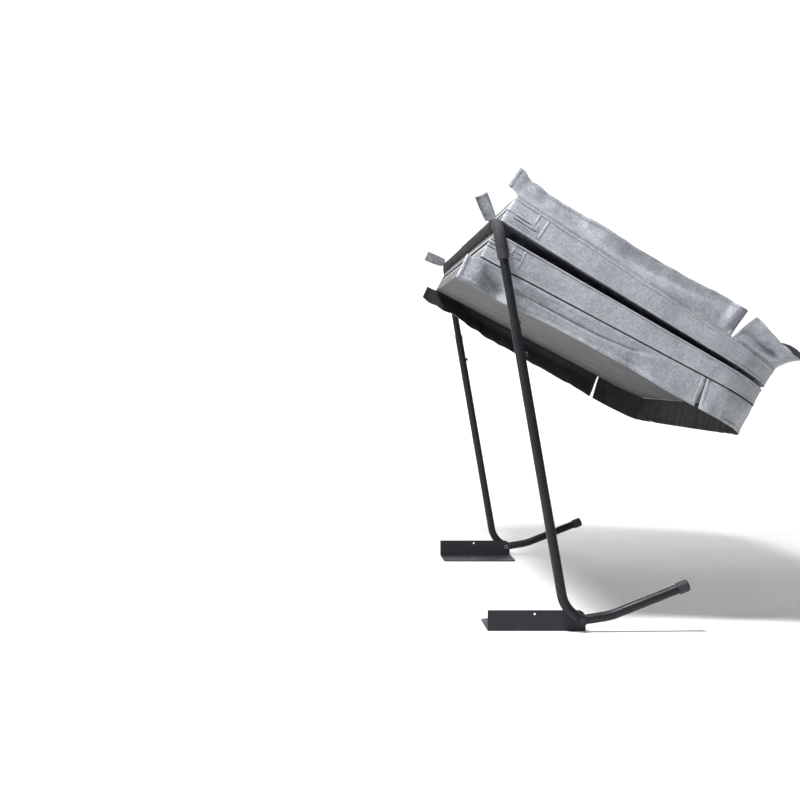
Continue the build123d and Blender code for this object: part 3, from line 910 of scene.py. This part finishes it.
def end_skirt(half, stitches):
    """Skirt round the outer edge, from slit to slit; s is the place along it."""
    node = half.local(node_points(f"{half.name}_end_skirt"))
    length = node[:, 2].max() - node[:, 2].min()
    path = half.rim(SKIRT_PROUD, first=node[:, 0].min())
    steps = np.linalg.norm(np.diff(path[:, :2], axis=0), axis=1)
    along = np.concatenate([[0], np.cumsum(steps)])
    s = edged(0, along[-1])
    plan = np.column_stack([np.interp(s, along, path[:, k]) for k in range(4)])
    roots = half.at(plan, half.bottom)
    outs = half.outward(plan)
    outs /= np.linalg.norm(outs, axis=1)[:, None]
    tangents = np.gradient(roots, axis=0)
    tangents /= np.linalg.norm(tangents, axis=1)[:, None]
    near = np.minimum(s, along[-1] - s)
    toward = np.where(s < along[-1] / 2, 1.0, -1.0)
    sway = np.interp(near, *END_SWAY[half.name]) * toward
    seed = 31.0 + 7 * HALVES.index(half.name)
    table = END_LEAN[half.name]
    grid = marched(half, roots, outs, tangents, s, length,
                   lambda _, depth: lean_at(table, near, depth), sway,
                   RIPPLE[f"{half.name}_end"], seed)
    skirt_pieces(half, f"{half.name}_end_skirt_cloth", grid, f"{half.name}_end_skirt",
                 stitches, outs)


# ---- hinge ----
TAB_HANG = {"right": 113.0, "left": 157.0}      # direction of each tab, degrees above +X
TAB_ROOT = (0.027, 135.0)                       # its root from the bar: distance, direction
TAB_LENGTH = 0.082
TAB_STEPS = np.concatenate([[0], np.linspace(0.008, TAB_LENGTH - 0.009, 10),
                            TAB_LENGTH - np.array([0.006, 0.003, 0])])
TAB_BEND = np.concatenate([[-1, -0.93, -0.86], np.linspace(-0.78, 0.78, 11), [0.86, 0.93, 1]])
TAB_THICK = 0.0016
TAB_HEM_THICK = 0.0030
TAB_SEWN = 0.0012       # middle of a stitch outside the middle of the tab


def upward(degrees):
    """Direction square to the crossbar, in degrees above +X."""
    angle = math.radians(degrees)
    return np.array([math.cos(angle), 0, math.sin(angle)])


def tab(side, stitches):
    """Loose vinyl tab at one end of the hinge strip, curled along its length like a gutter."""
    sign = SIDES[side]
    strip_end = abs(node_points("hinge_strip")[:, 1]).max()
    inner = abs(node_points(f"{side}_hinge_tab")[:, 1]).min() + 0.0062
    along = upward(TAB_HANG[side])
    across = np.array([along[2], 0, -along[0]])
    out = sign * Y
    root = BAR + TAB_ROOT[0] * upward(TAB_ROOT[1])
    # Place along the tab, place along Y and half width of each row; the first three lead in
    # from the end of the strip.
    lead = [(-0.0075, strip_end - 0.004, 0.006), (-0.0075, inner, 0.007), (-0.003, inner, 0.014)]
    rows = []
    for d, y, half_wide in lead + [(d, inner, 0.0215 + 0.165 * d) for d in TAB_STEPS]:
        share = max(d, 0) / TAB_LENGTH
        curl = math.radians(58 + 42 * share)
        radius = half_wide / curl
        turn = TAB_BEND * curl
        lift = radius * (1 - np.cos(turn)) * (0.5 + 0.5 * share)
        sway = 0.004 * math.sin(3 * share) * (1 - share)
        base = root + along * d
        line = base + across * (radius * np.sin(turn))[:, None]
        line[:, 1] = sign * (y + lift + sway)
        rows.append(line)
    grid = np.array(rows)
    cloth, hem = hemmed((f"{side}_tab_cloth", f"{side}_tab_hem"), grid, False, 2, (TAB,),
                        (TAB_THICK, TAB_HEM_THICK), "hinge")
    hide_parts(f"{side}_hinge_tab")
    for line in (grid[3:-3, 3], grid[3:-3, -4], grid[-4, 3:-3]):
        stitches.row(line + out * TAB_SEWN, np.tile(out, (len(line), 1)))


def hinge_flange(half, tree, stitches):
    """Edge of the hinge strip, sewn to the half along the top of its fold face."""
    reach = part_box("hinge_strip")[1][1] - 0.004
    level = half.top(half.fold) - BORDER
    places = half.world([(half.fold, y, level) for y in np.linspace(-reach, reach, 180)])
    found, _ = on_surface(tree, places)
    outs = np.tile(-half.u_axis, (len(places), 1))
    ups = np.tile(half.w_axis, (len(places), 1))
    # The flange takes the near-black hinge vinyl: painted shade of the fold.
    piece = swept(
        f"{half.name}_hinge_flange", found, outs, ups, pillow(0.017, 0.0014), SHADED_HINGE_VINYL)
    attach(piece, f"{half.name}_half")
    for shift in (-0.005, 0.002):
        stitches.row(found + ups * shift + outs * 0.0015, outs)


# ---- lifter ----
BEAD = 0.0017           # mean radius of a weld bead
BEAD_STEPS = 48
BEAD_SIDES = 8


def weld_bead(name, hub, axis, radius, hub_radius):
    """Bead where a tube along axis meets the pivot hub, which lies along Y."""
    axis = axis / np.linalg.norm(axis)
    side = np.cross(axis, Y)
    points = []
    for a in np.linspace(0, 2 * math.pi, BEAD_STEPS + 1)[:-1]:
        reach = math.sqrt(max(hub_radius**2 - (radius * math.cos(a)) ** 2, 1e-9))
        points.append(hub + axis * reach + side * radius * math.cos(a) + Y * radius * math.sin(a))
    points = np.array(points)
    outs = points - hub - ((points - hub) @ axis)[:, None] * axis
    outs /= np.linalg.norm(outs, axis=1)[:, None]
    bead = BEAD * (1 + 0.22 * np.sin(np.arange(BEAD_STEPS) * 2 * math.pi / 3))
    profile = ring(1.0, BEAD_SIDES)
    places = points[:, None] + bead[:, None, None] * (
        profile[None, :, :1] * outs[:, None] + profile[None, :, 1:] * axis[None, None])
    count = BEAD_STEPS * BEAD_SIDES
    faces = [[i % count for i in f] for f in quads(BEAD_STEPS + 1, BEAD_SIDES, wrap=True)]
    piece = mesh_object(name, places.reshape(-1, 3), faces, TUBE)
    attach(piece, "lifter")


def lifter_details():
    """Weld beads where the lower arm and the foot tube meet each hub."""
    for side in SIDES:
        hub = node_centre(f"{side}_pivot_hub")
        arm = node_points(f"{side}_lower_arm")
        foot = node_points(f"{side}_foot_tube")
        radius = (arm[:, 1].max() - arm[:, 1].min()) / 2
        lo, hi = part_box(f"{side}_pivot_hub")
        hub_radius = (hi[2] - lo[2]) / 2
        for kind, points in (("arm", arm), ("foot", foot)):
            away = np.linalg.norm((points - hub) * [1, 0, 1], axis=1)
            near = points[(away > 0.02) & (away < 0.075)]
            axis = (near.mean(axis=0) - hub) * [1, 0, 1]
            weld_bead(f"{side}_{kind}_weld", hub, axis, radius * 0.985, hub_radius - 0.0006)


def dress_nodes():
    """Gives the CAD nodes their materials, and the foam cores soft edges."""
    for name in sorted(NODES):
        for words, material in NODE_LOOKS:
            if any(word in name for word in words):
                NODES[name].data.materials.clear()
                NODES[name].data.materials.append(material)
                break
    for half in HALVES:
        core = NODES[f"{half}_foam_core"]
        core.modifiers.new("weld", "WELD").merge_threshold = 0.00002
        bevel = core.modifiers.new("soft_edges", "BEVEL")
        bevel.width = 0.006
        bevel.segments = 2
        bevel.limit_method = "ANGLE"


# ---- build ----
dress_nodes()
for half in HALF.values():
    stitches = Stitches()
    tree = shell(half)
    trim(half, tree, stitches)
    zipper(half)
    hinge_flange(half, tree, stitches)
    for side in SIDES:
        side_skirt(half, side, stitches)
    end_skirt(half, stitches)
    stitches.finish(f"{half.name}_stitches", f"{half.name}_half")
tab_stitches = Stitches()
for side in SIDES:
    tab(side, tab_stitches)
tab_stitches.finish("tab_stitches", "hinge")
lifter_details()


# ---- stage ----
FLOOR_DROP = 0.0005     # keeps the floor clear of the brackets' undersides
LIGHTS = [              # name, place, target, size, power
    ("top", (-1.15, -1.75, 3.7), (0.1, -0.8, 0.9), (0.7, 0.5), 222),
    ("front", (-4.8, -3.5, 2.2), (0.1, -0.9, 0.9), (0.7, 0.7), 112),
    ("edge", (3.4, -4.6, 1.4), (0.0, -1.1, 0.7), (0.4, 2.8), 1),
    ("backdrop", (0.0, 4.6, 6.0), (0.0, 9.8, 2.2), (16.0, 3.0), 900),
]
CAMERA_PLACE = (-0.811, -6.422, 0.825)
CAMERA_LENS = 75.15
CAMERA_SHIFT = (0.0925, -0.035)


def backdrop():
    """Pale floor that curves up behind the object."""
    profile = [(-14.0, 0.0), (7.0, 0.0)]
    profile += [(7 + 3 * math.sin(a), 3 - 3 * math.cos(a))
                for a in np.radians(np.linspace(6, 90, 15))]
    profile += [(10.0, 9.0)]
    points = [(x, y, z - FLOOR_DROP) for y, z in profile for x in (-16, 16)]
    faces = [(2 * i, 2 * i + 1, 2 * i + 3, 2 * i + 2) for i in range(len(profile) - 1)]
    shader = Shader("floor", (0.92, 0.92, 0.92), 0.7, specular=0.1)
    shader.tint(shader.noise(3, 3), [(0.3, 0.9), (0.7, 0.94)])
    floor = mesh_object("floor", points, faces, shader.material)


def area_light(name, place, target, size, power):
    light = bpy.data.lights.new(name, "AREA")
    light.shape = "RECTANGLE"
    light.size, light.size_y = size
    light.energy = power
    obj = bpy.data.objects.new(name, light)
    obj.location = place
    obj.rotation_euler = (Vector(target) - Vector(place)).to_track_quat("-Z", "Y").to_euler()
    bpy.context.scene.collection.objects.link(obj)


def studio():
    """World that is dim in front of the object and white behind it, and the lamps."""
    world = bpy.data.worlds.new("studio")
    world.use_nodes = True
    tree = world.node_tree
    background = tree.nodes["Background"]
    background.inputs["Strength"].default_value = 1.0
    place = tree.nodes.new("ShaderNodeTexCoord")
    split = tree.nodes.new("ShaderNodeSeparateXYZ")
    tree.links.new(place.outputs["Generated"], split.inputs["Vector"])
    fade = tree.nodes.new("ShaderNodeValToRGB")
    low, high = fade.color_ramp.elements
    low.position = 0.1
    low.color = (0.15, 0.15, 0.16, 1)
    high.position = 0.75
    high.color = (1, 1, 1, 1)
    tree.links.new(split.outputs["Y"], fade.inputs["Fac"])
    tree.links.new(fade.outputs["Color"], background.inputs["Color"])
    bpy.context.scene.world = world
    bpy.context.scene.view_settings.view_transform = "Standard"
    for light in LIGHTS:
        area_light(*light)


def place_camera():
    """Level camera that looks along +Y, shifted to the photograph's framing."""
    camera = bpy.data.cameras.new("camera")
    camera.sensor_width = 36
    camera.lens = CAMERA_LENS
    camera.shift_x, camera.shift_y = CAMERA_SHIFT
    holder = bpy.data.objects.new("camera", camera)
    holder.location = CAMERA_PLACE
    holder.rotation_euler = (math.radians(90), 0, 0)
    bpy.context.scene.collection.objects.link(holder)
    bpy.context.scene.camera = holder


backdrop()
studio()
place_camera()
